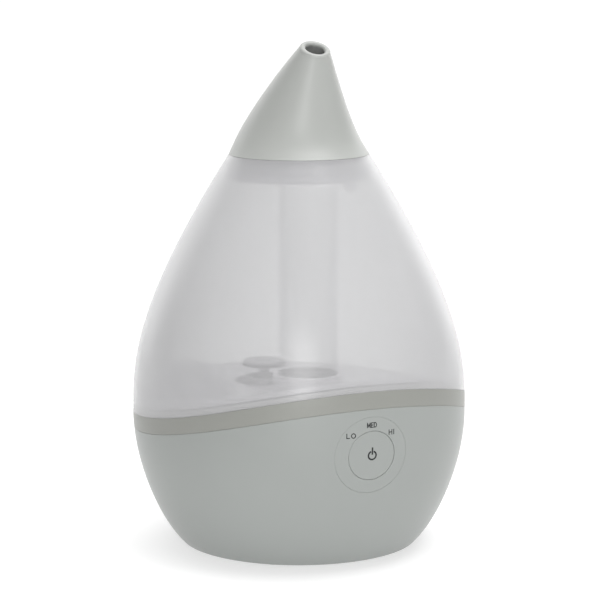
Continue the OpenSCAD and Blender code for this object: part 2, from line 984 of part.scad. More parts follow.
module fan_screws() {
    color([0.75, 0.75, 0.76])
        at_fan(fan_low - 1.6)
            for (p = fan_holes)
                translate([p[0], p[1], 0])
                    pan_screw(2.8, 1.6, 1.45, 12.2);
}

// ---- Water level float --------------------------------------------------------------------------

float_low = 53;
float_h = 9;
float_bore = post_r + 0.5;

module water_float() {
    color([0.93, 0.93, 0.9])
        translate([float_at[0], float_at[1], float_low])
            difference() {
                cylinder(r = float_r, h = float_h);
                translate([0, 0, -1])
                    cylinder(r = float_bore, h = float_h + 2);
                translate([0, 0, -1])
                    ring(float_bore + 3, float_bore + 1, 4);
            }
}

module float_magnet() {
    color([0.3, 0.3, 0.32])
        translate([float_at[0], float_at[1], float_low + 0.4])
            ring(float_bore + 2.9, float_bore + 1.1, 2.5);
}

module float_clip() {
    color([0.85, 0.85, 0.85])
        translate([float_at[0], float_at[1], post_top])
            cylinder(r = 5, h = 1.6);
}

// ---- Power inlet and wiring ---------------------------------------------------------------------

module dc_jack() {
    color([0.12, 0.12, 0.13])
        difference() {
            union() {
                translate([jack_at[0], jack_face - 14, jack_at[1]])
                    rotate([-90, 0, 0])
                        cylinder(r = jack_r, h = 14);
                translate([jack_at[0] - 5.5, jack_face - 20, jack_at[1] - 5.5])
                    cube([11, 8, 11]);
            }
            translate([jack_at[0], jack_face - 10, jack_at[1]])
                rotate([-90, 0, 0])
                    cylinder(r = 2.8, h = 20);
        }
}

module jack_pin() {
    color([0.85, 0.85, 0.86])
        translate([jack_at[0], jack_face - 10, jack_at[1]])
            rotate([-90, 0, 0])
                cylinder(r = 1.05, h = 9);
}

// Routes of the wires between the boards, chosen by hand.
panel_route = [[-4, -73, 58], [-5, -66, 55], [-7, -59, 43], [-7.5, -48, 34], [-6, -40, 29], [-5, -35.2, 27]];
sonic_route = [[0, -12, 41.4], [0, -14, 37], [3, -20, 34], [7, -26, 33], [8, -31, 31.5], [8, -32, 30]];
fan_route = [[-36.8, 12.6, 32], [-33.6, 8.4, 30.5], [-31.3, 6.4, 27.7], [-29.35, 6.2, 27.2]];
jack_route = [[4, 57.4, 24], [5, 52, 24.5], [10, 42, 26], [16, 28, 27], [17.5, 18.8, 27]];
reed_route = [[32, 12, 46.8], [31, 13, 43], [26, 17, 37], [19, 17, 33], [17, 16, 30]];

module panel_wires() {
    color([0.85, 0.85, 0.8])
        wire(panel_route, 1.3, [1, 0, 0]);
}

module transducer_wires() {
    color([0.75, 0.15, 0.12])
        wire(sonic_route, 0.9, [1, 0.3, 0]);
}

module fan_wires() {
    color([0.12, 0.12, 0.13])
        wire(fan_route, 0.9, [0, 0, 1]);
}

module jack_wires() {
    color([0.12, 0.12, 0.13])
        wire(jack_route, 1.2, [1, 0, 0]);
}

module reed_wires() {
    color([0.9, 0.8, 0.2])
        wire(reed_route, 0.8, [0, 1, 0]);
}

mist_nozzle();
nozzle_bearing();
nozzle_skirt();
tank_shell();
neck_ring();
mist_chimney();
tank_floor();
tank_cap();
cap_gasket();
valve_plunger();
valve_seal();
valve_clip();
valve_spring();
base_housing();
rim_band();
reservoir_deck();
bottom_cover();
rubber_feet();
cover_screws();
control_ring();
power_button();
control_board();
board_screws();
tact_switch();
speed_lamps();
transducer_disc();
transducer_seal();
transducer_holder();
holder_screws();
driver_board();
driver_screws();
heat_sink();
power_transistor();
driver_coil();
board_capacitors();
board_connectors();
reed_switch();
fan_frame();
fan_stator();
fan_rotor();
fan_shaft();
air_duct();
fan_screws();
water_float();
float_magnet();
float_clip();
dc_jack();
jack_pin();
panel_wires();
transducer_wires();
fan_wires();
jack_wires();
reed_wires();
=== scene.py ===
"""Teardrop cool mist humidifier: smooth visual shells, materials, studio and camera around the CAD frame."""
import math

import bmesh
import bpy
import numpy as np
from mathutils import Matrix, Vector


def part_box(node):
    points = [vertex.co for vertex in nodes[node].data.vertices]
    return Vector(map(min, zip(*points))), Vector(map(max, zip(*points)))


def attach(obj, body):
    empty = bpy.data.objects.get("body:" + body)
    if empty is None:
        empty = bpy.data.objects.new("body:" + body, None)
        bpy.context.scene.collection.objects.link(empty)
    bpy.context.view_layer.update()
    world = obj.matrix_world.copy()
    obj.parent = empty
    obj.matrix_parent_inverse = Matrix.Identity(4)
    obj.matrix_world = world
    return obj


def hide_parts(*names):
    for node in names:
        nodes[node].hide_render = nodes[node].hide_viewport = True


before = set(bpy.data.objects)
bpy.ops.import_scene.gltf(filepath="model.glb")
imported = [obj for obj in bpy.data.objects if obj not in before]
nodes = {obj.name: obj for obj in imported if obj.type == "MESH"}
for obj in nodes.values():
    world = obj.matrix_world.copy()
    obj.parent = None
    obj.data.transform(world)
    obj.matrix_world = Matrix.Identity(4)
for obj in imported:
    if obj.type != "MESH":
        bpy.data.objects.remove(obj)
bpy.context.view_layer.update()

MM = 0.001

# ---- The teardrop's profile, as in the CAD ------------------------------------------------------

BODY_R, BELLY_Z = 95.0, 77.1
NECK_R, NECK_Z = 39.7, 223.5
LOWER_CURVE = np.array([(67.8, 2.9), (81.4, 16.2), (BODY_R, 49.4), (BODY_R, BELLY_Z)])
UPPER_CURVE = np.array([(BODY_R, BELLY_Z), (BODY_R, 101.2), (96.8, 134.4), (NECK_R, NECK_Z)])
WALL, TANK_WALL = 2.4, 2.2
HAIRLINE = 0.3
SEAM_LOW, SEAM_BEND_R, SEAM_LOW_Y = 77.8, 375.0, 43.5
RIM_BAND_H = 9.0
PANEL_T = 0.903
PANEL_R, BUTTON_R = 21.4, 13.7
CURVE_SAMPLES = 600
SEAM_ROUNDS = 12                  # rounds of the seam's height and radius settling on each other
CORNER_STEPS = 4


def bezier(c, t):
    """Points of a cubic curve with control points c."""
    t = np.asarray(t)[..., None]
    return (1 - t) ** 3 * c[0] + 3 * t * (1 - t) ** 2 * c[1] + 3 * t * t * (1 - t) * c[2] + t ** 3 * c[3]


def slope(c, t):
    """Direction of travel along a cubic curve."""
    t = np.asarray(t)[..., None]
    return 3 * (1 - t) ** 2 * (c[1] - c[0]) + 6 * t * (1 - t) * (c[2] - c[1]) + 3 * t * t * (c[3] - c[2])


def inset_profile(depth):
    """Radius and height along the body's profile, moved inwards by depth."""
    t = np.linspace(0, 1, CURVE_SAMPLES)
    points = []
    for curve in (LOWER_CURVE, UPPER_CURVE):
        s = slope(curve, t)
        s /= np.linalg.norm(s, axis=1)[:, None]
        points.append(bezier(curve, t) + depth * np.stack([-s[:, 1], s[:, 0]], axis=1))
    return np.concatenate([points[0], points[1][1:]])


PROFILES = {}


def radius_at(z, depth=0.0):
    """The body's radius at a height, at a depth under its surface."""
    if depth not in PROFILES:
        PROFILES[depth] = inset_profile(depth)
    return np.interp(z, PROFILES[depth][:, 1], PROFILES[depth][:, 0])


def surface_normal(point):
    """Outward normal of the teardrop at the height of a point, for shading."""
    z, reach = point[2], 0.2
    dr = (radius_at(z + reach) - radius_at(z - reach)) / (2 * reach)
    a = math.atan2(point[1], point[0])
    n = np.array([math.cos(a), math.sin(a), -dr])
    return n / np.linalg.norm(n)


def seam_z(phi, raised, depth=0.0):
    """Height of the wave seam around the body, raised by an amount."""
    z = np.full_like(phi, SEAM_LOW)
    for _ in range(SEAM_ROUNDS):
        y = radius_at(z, depth) * np.sin(phi)
        z = SEAM_LOW + SEAM_BEND_R - np.sqrt((SEAM_BEND_R - raised) ** 2 - (y - SEAM_LOW_Y) ** 2)
    return z


# ---- Mesh helpers -------------------------------------------------------------------------------

def new_object(name, verts, faces, material, body):
    """A smooth mesh from points in millimetres, riding a body and filed under a material slot."""
    mesh = bpy.data.meshes.new(name)
    mesh.from_pydata((np.asarray(verts) * MM).tolist(), [], faces)
    mesh.validate()
    bm = bmesh.new()
    bm.from_mesh(mesh)
    bmesh.ops.recalc_face_normals(bm, faces=bm.faces)
    bm.to_mesh(mesh)
    bm.free()
    mesh.polygons.foreach_set("use_smooth", [True] * len(mesh.polygons))
    mesh.materials.append(material)
    obj = bpy.data.objects.new(name, mesh)
    bpy.context.scene.collection.objects.link(obj)
    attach(obj, body)
    return obj


def weighted_normals(obj):
    modifier = obj.modifiers.new("even_shading", "WEIGHTED_NORMAL")
    modifier.keep_sharp = True
    return obj


def grid_faces(rows, cols, wrap_rows=False):
    """Quads between rows of points, each row a closed loop; wrap_rows joins the last row to the first."""
    faces = []
    for i in range(rows if wrap_rows else rows - 1):
        for j in range(cols):
            a, b = i * cols, ((i + 1) % rows) * cols
            k = (j + 1) % cols
            faces.append((a + j, a + k, b + k, b + j))
    return faces


def corner(centre, radius, start, end, steps=CORNER_STEPS):
    """Points of a rounded corner, angles in degrees from the outward direction."""
    return [(centre[0] + radius * math.cos(math.radians(a)), centre[1] + radius * math.sin(math.radians(a)))
            for a in np.linspace(start, end, steps)]


def body_shell(name, depth_out, depth_in, low, high, material, body,
               rows, fillet, cols=288):
    """A closed wall of the teardrop between two heights, low and high, each a function of (phi, depth)."""
    phi = np.linspace(0, 2 * math.pi, cols, endpoint=False)
    loops = []

    def add(r, z):
        loops.append(np.stack([r * np.cos(phi), r * np.sin(phi), z], axis=1))

    def add_corner(level, depth, side, start):
        for a in np.radians(np.linspace(start, start + 90, CORNER_STEPS)):
            add(radius_at(level, depth) + fillet * (side + math.cos(a)), level + fillet * math.sin(a))

    def add_wall(start, end, depth):
        for u in np.linspace(0, 1, rows)[1:-1]:
            z = start + (end - start) * u
            add(radius_at(z, depth), z)

    low_out, high_out = low(phi, depth_out) + fillet, high(phi, depth_out) - fillet
    low_in, high_in = low(phi, depth_in) + fillet, high(phi, depth_in) - fillet
    add_corner(low_out, depth_out, -1, -90)
    add_wall(low_out, high_out, depth_out)
    add_corner(high_out, depth_out, -1, 0)
    add_corner(high_in, depth_in, 1, 90)
    add_wall(high_in, low_in, depth_in)
    add_corner(low_in, depth_in, 1, 180)
    verts = np.concatenate(loops)
    return new_object(name, verts, grid_faces(len(loops), cols, wrap_rows=True), material, body)


def shade_as_body(obj, limit=25.0):
    """Gives the outer faces the teardrop's own normals, so that a cut leaves no shading marks."""
    mesh = obj.data
    limit_cos = math.cos(math.radians(limit))
    normals = []
    for poly in mesh.polygons:
        flat = np.array(poly.normal)
        for loop in poly.loop_indices:
            point = np.array(mesh.vertices[mesh.loops[loop].vertex_index].co) / MM
            smooth = surface_normal(point)
            if flat @ smooth > limit_cos:
                normals.append(smooth)
            elif -(flat @ smooth) > limit_cos:
                normals.append(-smooth)
            else:
                normals.append(flat)
    mesh.normals_split_custom_set([tuple(n) for n in normals])


# ---- Materials ----------------------------------------------------------------------------------

def srgb(r, g, b):
    """Linear colour of an 8-bit screen colour."""
    def channel(v):
        v /= 255
        return v / 12.92 if v <= 0.04045 else ((v + 0.055) / 1.055) ** 2.4
    return (channel(r), channel(g), channel(b), 1.0)


PLASTIC_IOR = 1.45
ROUGHNESS_SPREAD = 0.05
BUMP_HEIGHT = 0.0002              # metres
SHEEN_ROUGHNESS = 0.3


def moulded(name, colour, roughness, vary=0.03, cloud=14.0, grain=1400.0, bump=0.03, metallic=0.0, alpha=1.0,
            specular=0.5, coat=0.0, sheen=0.0, glow=0.0, edge_alpha=None, edge_blend=0.35):
    """A procedural surface: cloudy colour, grain in the roughness, and a fine bump.

    With edge_alpha the surface is clear where it faces the viewer and denser towards its edges, as a
    wall of clear plastic is.
    """
    material = bpy.data.materials.new(name)
    material.use_nodes = True
    tree = material.node_tree
    tree.nodes.clear()
    out = tree.nodes.new("ShaderNodeOutputMaterial")
    shader = tree.nodes.new("ShaderNodeBsdfPrincipled")
    coords = tree.nodes.new("ShaderNodeTexCoord")
    clouds = tree.nodes.new("ShaderNodeTexNoise")
    clouds.inputs["Scale"].default_value = cloud
    clouds.inputs["Detail"].default_value = 3.0
    ramp = tree.nodes.new("ShaderNodeValToRGB")
    ramp.color_ramp.elements[0].position = 0.3
    ramp.color_ramp.elements[1].position = 0.7
    ramp.color_ramp.elements[0].color = [v * (1 - vary) for v in colour[:3]] + [1]
    ramp.color_ramp.elements[1].color = [min(1, v * (1 + vary)) for v in colour[:3]] + [1]
    fine = tree.nodes.new("ShaderNodeTexNoise")
    fine.inputs["Scale"].default_value = grain
    fine.inputs["Detail"].default_value = 2.0
    rough = tree.nodes.new("ShaderNodeMapRange")
    rough.inputs["To Min"].default_value = max(0.02, roughness - ROUGHNESS_SPREAD)
    rough.inputs["To Max"].default_value = min(1.0, roughness + ROUGHNESS_SPREAD)
    relief = tree.nodes.new("ShaderNodeBump")
    relief.inputs["Strength"].default_value = bump
    relief.inputs["Distance"].default_value = BUMP_HEIGHT
    link = tree.links.new
    link(coords.outputs["Object"], clouds.inputs["Vector"])
    link(coords.outputs["Object"], fine.inputs["Vector"])
    link(clouds.outputs["Fac"], ramp.inputs["Fac"])
    link(ramp.outputs["Color"], shader.inputs["Base Color"])
    link(fine.outputs["Fac"], rough.inputs["Value"])
    link(rough.outputs["Result"], shader.inputs["Roughness"])
    link(fine.outputs["Fac"], relief.inputs["Height"])
    link(relief.outputs["Normal"], shader.inputs["Normal"])
    shader.inputs["Metallic"].default_value = metallic
    if edge_alpha is None:
        shader.inputs["Alpha"].default_value = alpha
    else:
        facing = tree.nodes.new("ShaderNodeLayerWeight")
        facing.inputs["Blend"].default_value = edge_blend
        opacity = tree.nodes.new("ShaderNodeMapRange")
        opacity.inputs["To Min"].default_value = alpha
        opacity.inputs["To Max"].default_value = edge_alpha
        link(facing.outputs["Facing"], opacity.inputs["Value"])
        link(opacity.outputs["Result"], shader.inputs["Alpha"])
    shader.inputs["Specular IOR Level"].default_value = specular
    shader.inputs["IOR"].default_value = PLASTIC_IOR
    shader.inputs["Coat Weight"].default_value = coat
    shader.inputs["Sheen Weight"].default_value = sheen
    shader.inputs["Sheen Roughness"].default_value = SHEEN_ROUGHNESS
    shader.inputs["Emission Color"].default_value = (1, 1, 1, 1)
    shader.inputs["Emission Strength"].default_value = glow
    link(shader.outputs["BSDF"], out.inputs["Surface"])
    return material


SHELL = moulded("satin_grey", srgb(152, 155.5, 153), 0.4, vary=0.012, bump=0.04, sheen=0.12)
NOZZLE = moulded("satin_grey_nozzle", srgb(165, 167, 164), 0.42, vary=0.012, bump=0.04, sheen=0.12)
# The rim band's grey is the housing's grey made darker and warmer: painted shade, not a colour of the band's
# own.
RIM_PAINTED_SHADE = moulded("satin_grey_rim_painted_shade", srgb(142, 143, 138), 0.42, vary=0.012, bump=0.04, sheen=0.12)
FROST = moulded("frosted_tank", srgb(207, 207, 208), 0.25, vary=0.01, bump=0.02, alpha=0.38, edge_alpha=0.78,
                sheen=0.15)
CLEAR = moulded("clear_violet", srgb(206, 203, 213), 0.1, vary=0.01, bump=0.01, alpha=0.02, edge_alpha=0.9,
                edge_blend=0.05)
FLOOR_PAN = moulded("clear_floor", srgb(246, 244, 248), 0.14, vary=0.01, bump=0.01, alpha=0.7,
                    edge_alpha=0.98, edge_blend=0.2)
DECK = moulded("satin_grey_deck", srgb(214, 214, 213), 0.45, vary=0.012, bump=0.04)
CARRIER = moulded("clear_carrier", srgb(194, 191, 201), 0.14, vary=0.01, bump=0.01, alpha=0.34,
                  edge_alpha=0.9, edge_blend=0.25)
WHITE = moulded("white_plastic", srgb(222, 221, 217), 0.4, vary=0.02)
CAP = moulded("cap_grey", srgb(190, 189, 192), 0.38, vary=0.02)
RUBBER = moulded("dark_rubber", srgb(58, 58, 60), 0.75, vary=0.08, bump=0.15)
STEEL = moulded("bright_steel", srgb(200, 200, 202), 0.28, vary=0.04, metallic=1.0, grain=700)
ALUMINIUM = moulded("milled_aluminium", srgb(205, 207, 210), 0.36, vary=0.04, metallic=1.0, grain=500)
COPPER = moulded("enamelled_copper", srgb(186, 104, 52), 0.3, vary=0.08, metallic=1.0, grain=600, coat=0.3)
BOARD = moulded("solder_mask", srgb(30, 98, 54), 0.35, vary=0.12, cloud=260, grain=900, coat=0.3)
BLACK = moulded("black_plastic", srgb(38, 38, 40), 0.45, vary=0.05, bump=0.08)
LAMP = moulded("lamp_epoxy", srgb(228, 230, 220), 0.15, vary=0.03)
SLEEVE = moulded("capacitor_sleeve", srgb(34, 40, 82), 0.25, vary=0.05)
REED = moulded("reed_glass", srgb(190, 215, 200), 0.08, vary=0.03, alpha=0.6)
FERRITE = moulded("ferrite", srgb(52, 52, 55), 0.6, vary=0.1, bump=0.2)
WIRE_BLACK = moulded("wire_black", srgb(28, 28, 30), 0.55, vary=0.05)
WIRE_PALE = moulded("wire_pale", srgb(214, 208, 182), 0.5, vary=0.05)
WIRE_RED = moulded("wire_red", srgb(176, 34, 28), 0.5, vary=0.05)
INK = moulded("legend_ink", srgb(34, 35, 36), 0.7, vary=0.08, cloud=900)
PAPER = moulded("studio_floor", (0.46, 0.46, 0.46, 1), 0.9, vary=0.01, cloud=3, bump=0.0, specular=0.0,
                glow=0.6)

NODE_MATERIALS = {
    "nozzle_bearing": WHITE, "nozzle_skirt": CARRIER, "neck_ring": CARRIER, "mist_chimney": CLEAR,
    "tank_floor": FLOOR_PAN, "tank_cap": CAP, "cap_gasket": RUBBER, "valve_plunger": CAP,
    "valve_seal": RUBBER, "valve_clip": STEEL, "valve_spring": STEEL, "reservoir_deck": DECK,
    "bottom_cover": SHELL, "rubber_feet": RUBBER, "cover_screws": STEEL, "control_board": BOARD,
    "board_screws": STEEL, "tact_switch": BLACK, "speed_lamps": LAMP, "transducer_disc": STEEL,
    "transducer_seal": RUBBER, "transducer_holder": ALUMINIUM, "holder_screws": STEEL,
    "driver_board": BOARD, "driver_screws": STEEL, "heat_sink": ALUMINIUM, "power_transistor": BLACK,
    "driver_coil": COPPER, "board_capacitors": SLEEVE, "board_connectors": WHITE, "reed_switch": REED,
    "fan_frame": BLACK, "fan_stator": COPPER, "fan_rotor": BLACK, "fan_shaft": STEEL, "air_duct": WHITE,
    "fan_screws": STEEL, "water_float": WHITE, "float_magnet": FERRITE, "float_clip": WHITE,
    "dc_jack": BLACK, "jack_pin": STEEL, "panel_wires": WIRE_PALE, "transducer_wires": WIRE_RED,
    "fan_wires": WIRE_BLACK, "jack_wires": WIRE_BLACK, "reed_wires": WIRE_PALE,
}


def dress_cad_nodes():
    """Gives each piece that stays as the CAD made it its material."""
    for name, material in NODE_MATERIALS.items():
        obj = nodes[name]
        obj.data.materials.clear()
        obj.data.materials.append(material)


# ---- Tank, rim band and housing -----------------------------------------------------------------

SEAM_LAP = 0.08                   # the tank's lower edge stands this far over the seam
NECK_LAP = 0.2                    # and its upper edge this far over the neck line
BAND_LAP = 0.1                    # the housing's top edge stands this far under the rim band
EDGE_FILLET, BAND_FILLET = 0.12, 0.1


def flat(z):
    """A level edge for body_shell."""
    return lambda phi, depth: np.full_like(phi, z)


def seam(raised):
    """An edge for body_shell that follows the wave seam."""
    return lambda phi, depth: seam_z(phi, raised, depth)


def make_tank():
    tank = body_shell("tank_shell_skin", 0.0, TANK_WALL, seam(SEAM_LAP), flat(NECK_Z + NECK_LAP), FROST,
                      "tank", rows=110, fillet=EDGE_FILLET)
    weighted_normals(tank)
    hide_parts("tank_shell")


def make_rim_band():
    """The band just under the wave seam, in the housing's grey made darker as painted shade."""
    band = body_shell("rim_band_skin", 0.0, WALL, seam(-RIM_BAND_H), seam(0.0), RIM_PAINTED_SHADE, "base",
                      rows=24, fillet=BAND_FILLET)
    weighted_normals(band)
    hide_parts("rim_band")


def panel_frame():
    """Centre, right, up and outward directions of the front panel."""
    centre = bezier(LOWER_CURVE, PANEL_T)
    along = slope(LOWER_CURVE, PANEL_T)
    tilt = math.atan2(along[0], along[1])
    origin = np.array([0, -centre[0], centre[1]])
    up = np.array([0, -math.sin(tilt), math.cos(tilt)])
    out = np.array([0, -math.cos(tilt), -math.sin(tilt)])
    return origin, np.array([1.0, 0, 0]), up, out


PANEL_ORIGIN, PANEL_RIGHT, PANEL_UP, PANEL_OUT = panel_frame()


SURFACE_ROUNDS = 30               # steps along the panel's normal until a point meets the surface


def on_panel(x, y, raised):
    """A point over the body's surface, given in the panel's own plane."""
    x, y, raised = np.broadcast_arrays(*map(np.asarray, (x, y, raised)))
    flat_point = PANEL_ORIGIN + x[..., None] * PANEL_RIGHT + y[..., None] * PANEL_UP
    d = np.zeros(x.shape)
    for _ in range(SURFACE_ROUNDS):
        p = flat_point + d[..., None] * PANEL_OUT
        d += radius_at(p[..., 2]) - np.hypot(p[..., 0], p[..., 1])
    return flat_point + (d + raised)[..., None] * PANEL_OUT


def panel_lathe(name, outline, material, body, cols=160, closed=False):
    """Turns an outline of (radius, height over the surface) about the panel's centre."""
    theta = np.linspace(0, 2 * math.pi, cols, endpoint=False)
    rings = [on_panel(r * np.cos(theta), r * np.sin(theta), h) for r, h in outline]
    faces = grid_faces(len(rings), cols, wrap_rows=closed)
    if not closed:
        faces.append(list(range(cols)))
        faces.append([(len(rings) - 1) * cols + j for j in reversed(range(cols))])
    return new_object(name, np.concatenate(rings), faces, material, body)


BUTTON_GAP = 0.14
BUTTON_FILLET = 0.28
BUTTON_SUNK = 0.1                 # the button's face lies this far under the ring around it
RING_FILLET = 0.1
FACE_STEPS = 16


def make_button():
    """The button's dished cap and the stem behind it, outlined as (radius, height)."""
    r, f = BUTTON_R, BUTTON_FILLET
    face = [(rr, -BUTTON_SUNK) for rr in np.linspace(0.4, r - f - 0.3, FACE_STEPS)]
    edge = [(x, z - BUTTON_SUNK) for x, z in corner((r - f, -f), f, 90, 0, 6)]
    outline = face + edge + [(r, -3.0), (r, -5.6), (r - 1.3, -5.7), (r - 1.3, -2.2), (0.4, -2.2)]
    button = weighted_normals(panel_lathe("power_button_cap", outline, SHELL, "button"))
    panel_lathe("power_button_stem", [(0.1, -2.0), (2.2, -2.0), (2.2, -7.6), (2.0, -7.9), (0.1, -7.9)],
                SHELL, "button", cols=48)
    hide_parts("power_button")


def make_control_ring():
    """The flush ring around the button, with the sleeve that guides it."""
    inner, outer, f = BUTTON_R + BUTTON_GAP, PANEL_R, RING_FILLET
    top = [(rr, 0.0) for rr in np.linspace(inner + f + 0.2, outer - f - 0.2, 12)]
    outline = (corner((inner + f, -f), f, 180, 90, 5) + top + corner((outer - f, -f), f, 90, 0, 5)
               + [(outer, -1.4), (outer, -2.2), (inner + 1.4, -2.2), (inner + 1.4, -7.6), (inner, -7.6),
                  (inner, -3)])
    ring = panel_lathe("control_ring_face", outline, SHELL, "base", closed=True)
    weighted_normals(ring)
    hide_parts("control_ring")


def cutter(name, origin, axis, radius, length, sides):
    """A cylinder along an axis, to be cut away from a piece."""
    bpy.ops.mesh.primitive_cylinder_add(vertices=sides, radius=radius * MM, depth=length * MM,
                                        location=Vector(origin) * MM)
    tool = bpy.context.active_object
    tool.name = name
    tool.rotation_euler = Vector(axis).to_track_quat("Z", "Y").to_euler()
    return tool


def cut(obj, tool):
    """Cuts a tool out of a piece, and deletes the tool."""
    modifier = obj.modifiers.new("cut", "BOOLEAN")
    modifier.object = tool
    modifier.operation = "DIFFERENCE"
    modifier.solver = "EXACT"
    bpy.context.view_layer.update()
    evaluated = obj.evaluated_get(bpy.context.evaluated_depsgraph_get())
    mesh = bpy.data.meshes.new_from_object(evaluated)
    obj.modifiers.clear()
    obj.data = mesh
    bpy.data.objects.remove(tool, do_unlink=True)


PANEL_GAP = 0.07
PANEL_CUT = 16
JACK_R = 5.7
JACK_CUT = 30


def make_housing():
    """The grey base, with its panel hole in front and its inlet hole at the back."""
    foot_z = LOWER_CURVE[0][1]
    housing = body_shell("base_housing_skin", 0.0, WALL, flat(foot_z), seam(-RIM_BAND_H - BAND_LAP), SHELL,
                         "base", rows=90, fillet=EDGE_FILLET)
    cut(housing, cutter("panel_hole", PANEL_ORIGIN, PANEL_OUT, PANEL_R + PANEL_GAP, PANEL_CUT, 200))
    low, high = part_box("dc_jack")
    centre = np.array([(low[0] + high[0]) / 2, high[1], (low[2] + high[2]) / 2]) / MM
    cut(housing, cutter("jack_hole", centre, (0, 1, 0), JACK_R, JACK_CUT, 96))
    shade_as_body(housing)
    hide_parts("base_housing")


FOOT_RING_INNER, FOOT_RING_LEDGE, FOOT_RING_OUTER = 60.8, 58.6, 67.0
FOOT_RING_FILLET = 0.3


def make_foot_ring():
    """The housing's inward flange around the bottom cover."""
    z0, f = LOWER_CURVE[0][1] + 0.05, FOOT_RING_FILLET
    phi = np.linspace(0, 2 * math.pi, 192, endpoint=False)
    outline = ([(FOOT_RING_OUTER, z0)] + corner((FOOT_RING_INNER + f, z0 + f), f, 270, 180)
               + [(FOOT_RING_INNER, z0 + 2.55), (FOOT_RING_LEDGE, z0 + 2.65), (FOOT_RING_LEDGE, z0 + 4.45),
                  (FOOT_RING_OUTER, z0 + 4.45)])
    loops = [np.stack([r * np.cos(phi), r * np.sin(phi), np.full_like(phi, z)], axis=1) for r, z in outline]
    faces = grid_faces(len(loops), len(phi), wrap_rows=True)
    ring = new_object("base_foot_ring", np.concatenate(loops), faces, SHELL, "base")
    weighted_normals(ring)


# ---- Nozzle -------------------------------------------------------------------------------------

NOZZLE_SEAT = NECK_Z + HAIRLINE
NOZZLE_TIP = np.array([0, -21.0, 282.7])
NOZZLE_TILT = math.radians(28)
NOZZLE_TIP_R, NOZZLE_BASE_R = 8.8, NECK_R - 0.1
NOZZLE_WALL, NOZZLE_TIP_WALL, NOZZLE_FOOT = 2.2, 3.4, 0.15
NOZZLE_SPINE = np.array([(0, 0, NOZZLE_SEAT), (0, 2.0, NOZZLE_SEAT + 12),
                         NOZZLE_TIP + [0, 21.5, -39.5], NOZZLE_TIP])
NOZZLE_BASE_TAPER, NOZZLE_TIP_TAPER, NOZZLE_TURN = 0.54, 0.48, 1.15


def nozzle_radius(s, length):
    """Outer radius at a share s of the spine's length, with set radii and tapers at both ends."""
    return ((2 * s ** 3 - 3 * s ** 2 + 1) * NOZZLE_BASE_R
            - (s ** 3 - 2 * s ** 2 + s) * NOZZLE_BASE_TAPER * length
            + (3 * s ** 2 - 2 * s ** 3) * NOZZLE_TIP_R
            - (s ** 3 - s ** 2) * NOZZLE_TIP_TAPER * length)


def make_nozzle(rings=72, cols=160):
    """A leaning cone with a rounded lip, open from its foot to its mouth."""
    fine = bezier(NOZZLE_SPINE, np.linspace(0, 1, 400))
    reach = np.concatenate([[0], np.cumsum(np.linalg.norm(np.diff(fine, axis=0), axis=1))])
    length = reach[-1]
    s = np.linspace(0, 1, rings)
    centres = np.stack([np.interp(s * length, reach, fine[:, k]) for k in range(3)], axis=1)
    radii = nozzle_radius(s, length)
    tilts = NOZZLE_TILT * s ** NOZZLE_TURN
    theta = np.linspace(0, 2 * math.pi, cols, endpoint=False)

    def hoop(centre, tilt, radius):
        sideways, across = np.array([1.0, 0, 0]), np.array([0, math.cos(tilt), math.sin(tilt)])
        return centre + radius * (np.outer(np.cos(theta), sideways) + np.outer(np.sin(theta), across))

    axis = np.array([0, -math.sin(NOZZLE_TILT), math.cos(NOZZLE_TILT)])
    lip, foot = NOZZLE_TIP_WALL / 2, NOZZLE_FOOT
    inner = radii - NOZZLE_WALL - (NOZZLE_TIP_WALL - NOZZLE_WALL) * s
    loops = [hoop(centres[0] + [0, 0, foot - foot * math.cos(a)], 0, radii[0] - foot + foot * math.sin(a))
             for a in np.linspace(0, math.pi / 2, 4)]
    loops += [hoop(c, a, r) for c, a, r in zip(centres[1:], tilts[1:], radii[1:])]
    loops += [hoop(NOZZLE_TIP + lip * math.sin(a) * axis, NOZZLE_TILT, NOZZLE_TIP_R - lip + lip * math.cos(a))
              for a in np.linspace(0, math.pi, 15)[1:-1]]
    loops += [hoop(c, a, r) for c, a, r in zip(centres[::-1], tilts[::-1], inner[::-1])]
    nozzle = new_object("mist_nozzle_skin", np.concatenate(loops),
                        grid_faces(len(loops), cols, wrap_rows=True), NOZZLE, "nozzle")
    weighted_normals(nozzle)
    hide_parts("mist_nozzle")


# ---- Legends: strokes printed on the ring and the button ----------------------------------------

STROKE = 0.5
POWER_STROKE = 0.9
STROKE_STEP = 0.4
SHARPEST_MITRE = 2.2
PRINT_HEIGHT = 0.03
PRINT_SUNK = -0.02
CAP_HEIGHT = 2.9
TOUCHING = 1e-6


def arc(cx, cy, rx, ry, start, end, steps):
    return [(cx + rx * math.cos(math.radians(a)), cy + ry * math.sin(math.radians(a)))
            for a in np.linspace(start, end, steps)]


def letter(name, w, h):
    """Strokes of a plain capital in a box w wide and h high."""
    if name == "L":
        return [[(0, h), (0, 0), (w, 0)]]
    if name == "O":
        return [arc(w / 2, h / 2, w / 2, h / 2, 0, 360, 40)]
    if name == "M":
        return [[(0, 0), (0, h), (w / 2, 0.15 * h), (w, h), (w, 0)]]
    if name == "E":
        return [[(w, h), (0, h), (0, 0), (w, 0)], [(0, h / 2), (0.85 * w, h / 2)]]
    if name == "D":
        bow = 0.4 * w
        return [[(0, 0), (0, h), (bow, h)] + arc(bow, h / 2, w - bow, h / 2, 90, -90, 20) + [(0, 0)]]
    if name == "H":
        return [[(0, 0), (0, h)], [(w, 0), (w, h)], [(0, h / 2), (w, h / 2)]]
    return [[(0, 0), (0, h)]]      # I


